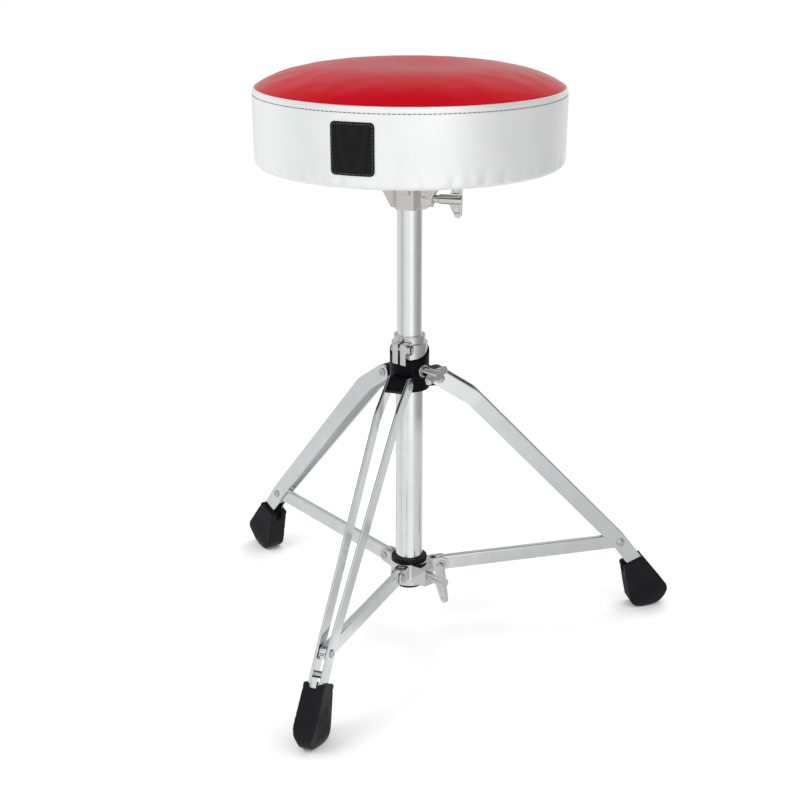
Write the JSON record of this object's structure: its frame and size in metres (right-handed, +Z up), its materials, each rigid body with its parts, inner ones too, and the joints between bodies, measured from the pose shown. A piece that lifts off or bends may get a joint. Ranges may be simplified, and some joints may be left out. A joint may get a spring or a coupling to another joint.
{
  "type": "drum throne",
  "caption": "Round padded drummer's seat on a telescoping post with a memory lock and a folding double-braced tripod base.",
  "frame": {"origin": "point of the floor on the axis of the base tube and seat post", "axes": "+Z up along the post; leg 1 points along -Y, legs 2 and 3 at 120 degree steps; the seat's badge faces -Y"},
  "size_m": [0.51, 0.4429, 0.592],
  "materials": {
    "chrome_tube": "polished",
    "chrome_strap": "polished",
    "chrome_cast": "polished",
    "steel_hardware": "satin",
    "black_moulding": "satin",
    "black_nylon": "satin",
    "natural_nylon": "satin",
    "brass_pad": "satin",
    "cast_bracket": "satin",
    "plywood": "matte",
    "foam": "matte",
    "red_vinyl": "satin",
    "white_vinyl": "satin",
    "black_fabric": "matte",
    "black_badge": "satin",
    "foot_rubber": "matte"
  },
  "bodies": {
    "base": {"base_tube": "chrome_tube", "tube_end_plug": "black_moulding", "tripod_hub": "black_moulding", "hub_bush": "natural_nylon", "hub_set_screw": "steel_hardware", "hub_thread_insert": "steel_hardware"},
    "hub_pad": {"hub_pressure_pad": "brass_pad"},
    "hub_bolt": {"hub_wing_bolt": "chrome_cast"},
    "post": {"seat_post": "chrome_tube", "post_guide_plug": "natural_nylon", "post_top_cap": "black_moulding"},
    "lock": {"memory_lock": "chrome_cast", "lock_square_nut": "steel_hardware"},
    "lock_screw": {"lock_key_screw": "steel_hardware"},
    "seat": {"seat_bracket": "cast_bracket", "bracket_screws": "steel_hardware", "bracket_t_nuts": "steel_hardware", "seat_board": "plywood", "seat_foam": "foam", "seat_top_cover": "red_vinyl", "seat_side_band": "white_vinyl", "seat_piping": "white_vinyl", "seat_dust_cover": "black_fabric", "dust_cover_staples": "steel_hardware", "seat_badge": "black_badge"},
    "seat_pad": {"seat_pressure_pad": "brass_pad"},
    "seat_bolt": {"seat_wing_bolt": "chrome_cast"},
    "collar": {"lower_collar": "chrome_cast", "collar_bush": "black_nylon", "collar_pins": "steel_hardware"},
    "collar_pad": {"collar_pressure_pad": "brass_pad"},
    "collar_bolt": {"collar_wing_bolt": "chrome_cast"},
    "leg_1": {"leg_1_strap_a": "chrome_strap", "leg_1_strap_b": "chrome_strap", "leg_1_hub_pin": "steel_hardware", "leg_1_brace_rivet": "steel_hardware", "leg_1_spacer": "steel_hardware", "leg_1_foot": "foot_rubber"},
    "brace_1": {"brace_1": "chrome_strap", "brace_1_bush": "steel_hardware"},
    "leg_2": {"leg_2_strap_a": "chrome_strap", "leg_2_strap_b": "chrome_strap", "leg_2_hub_pin": "steel_hardware", "leg_2_brace_rivet": "steel_hardware", "leg_2_spacer": "steel_hardware", "leg_2_foot": "foot_rubber"},
    "brace_2": {"brace_2": "chrome_strap", "brace_2_bush": "steel_hardware"},
    "leg_3": {"leg_3_strap_a": "chrome_strap", "leg_3_strap_b": "chrome_strap", "leg_3_hub_pin": "steel_hardware", "leg_3_brace_rivet": "steel_hardware", "leg_3_spacer": "steel_hardware", "leg_3_foot": "foot_rubber"},
    "brace_3": {"brace_3": "chrome_strap", "brace_3_bush": "steel_hardware"}
  },
  "joints": [
    {"name": "post_slide", "type": "slide", "parent": "base", "child": "post", "axis": [0, 0, 1], "range_m": [0, 0.11]},
    {"name": "lock_slide", "type": "slide", "parent": "post", "child": "lock", "axis": [0, 0, 1], "range_m": [0, 0.12]},
    {"name": "lock_screw_turn", "type": "hinge", "parent": "lock", "child": "lock_screw", "pos_m": [-0.0015, -0.02145, 0.3145], "axis": [0.9976, -0.0698, 0], "range_deg": [0, 720]},
    {"name": "seat_swivel", "type": "hinge", "parent": "post", "child": "seat", "pos_m": [0, 0, 0.46], "axis": [0, 0, 1], "continuous": true},
    {"name": "hub_pad_slide", "type": "slide", "parent": "base", "child": "hub_pad", "axis": [0.866, -0.5, 0], "range_m": [0, 0.0025]},
    {"name": "hub_bolt_turn", "type": "hinge", "parent": "hub_pad", "child": "hub_bolt", "pos_m": [0.03464, -0.02, 0.2905], "axis": [0.866, -0.5, 0], "range_deg": [0, 720]},
    {"name": "seat_pad_slide", "type": "slide", "parent": "seat", "child": "seat_pad", "axis": [0.9945, 0.1045, 0], "range_m": [0, 0.0025]},
    {"name": "seat_bolt_turn", "type": "hinge", "parent": "seat_pad", "child": "seat_bolt", "pos_m": [0.03978, 0.00418, 0.465], "axis": [0.9945, 0.1045, 0], "range_deg": [0, 720]},
    {"name": "collar_slide", "type": "slide", "parent": "base", "child": "collar", "axis": [0, 0, 1], "range_m": [0, 0.12367]},
    {"name": "collar_pad_slide", "type": "slide", "parent": "collar", "child": "collar_pad", "axis": [0.866, -0.5, 0], "range_m": [0, 0.0025]},
    {"name": "collar_bolt_turn", "type": "hinge", "parent": "collar_pad", "child": "collar_bolt", "pos_m": [0.03897, -0.0225, 0.066], "axis": [0.866, -0.5, 0], "range_deg": [0, 720]},
    {"name": "leg_1_fold", "type": "hinge", "parent": "base", "child": "leg_1", "pos_m": [0, -0.0297, 0.279], "axis": [1, 0, 0], "range_deg": [0, 40.05]},
    {"name": "brace_1_fold", "type": "hinge", "parent": "collar", "child": "brace_1", "pos_m": [0, -0.0349, 0.068], "axis": [1, 0, 0], "range_deg": [0, 86.81]},
    {"name": "leg_2_fold", "type": "hinge", "parent": "base", "child": "leg_2", "pos_m": [0.02572, 0.01485, 0.279], "axis": [-0.5, 0.866, 0], "range_deg": [0, 40.05]},
    {"name": "brace_2_fold", "type": "hinge", "parent": "collar", "child": "brace_2", "pos_m": [0.03022, 0.01745, 0.068], "axis": [-0.5, 0.866, 0], "range_deg": [0, 86.81]},
    {"name": "leg_3_fold", "type": "hinge", "parent": "base", "child": "leg_3", "pos_m": [-0.02572, 0.01485, 0.279], "axis": [-0.5, -0.866, 0], "range_deg": [0, 40.05]},
    {"name": "brace_3_fold", "type": "hinge", "parent": "collar", "child": "brace_3", "pos_m": [-0.03022, 0.01745, 0.068], "axis": [-0.5, -0.866, 0], "range_deg": [0, 86.81]}
  ],
  "couplings": [
    {"joint": "hub_bolt_turn", "follows": "hub_pad_slide", "rad_per_m": 5026.5},
    {"joint": "seat_bolt_turn", "follows": "seat_pad_slide", "rad_per_m": 5026.5},
    {"joint": "collar_bolt_turn", "follows": "collar_pad_slide", "rad_per_m": 5026.5},
    {"joint": "leg_1_fold", "follows": "collar_slide", "rad_per_m": 5.6451},
    {"joint": "brace_1_fold", "follows": "collar_slide", "rad_per_m": 12.244},
    {"joint": "leg_2_fold", "follows": "collar_slide", "rad_per_m": 5.6451},
    {"joint": "brace_2_fold", "follows": "collar_slide", "rad_per_m": 12.244},
    {"joint": "leg_3_fold", "follows": "collar_slide", "rad_per_m": 5.6451},
    {"joint": "brace_3_fold", "follows": "collar_slide", "rad_per_m": 12.244}
  ]
}
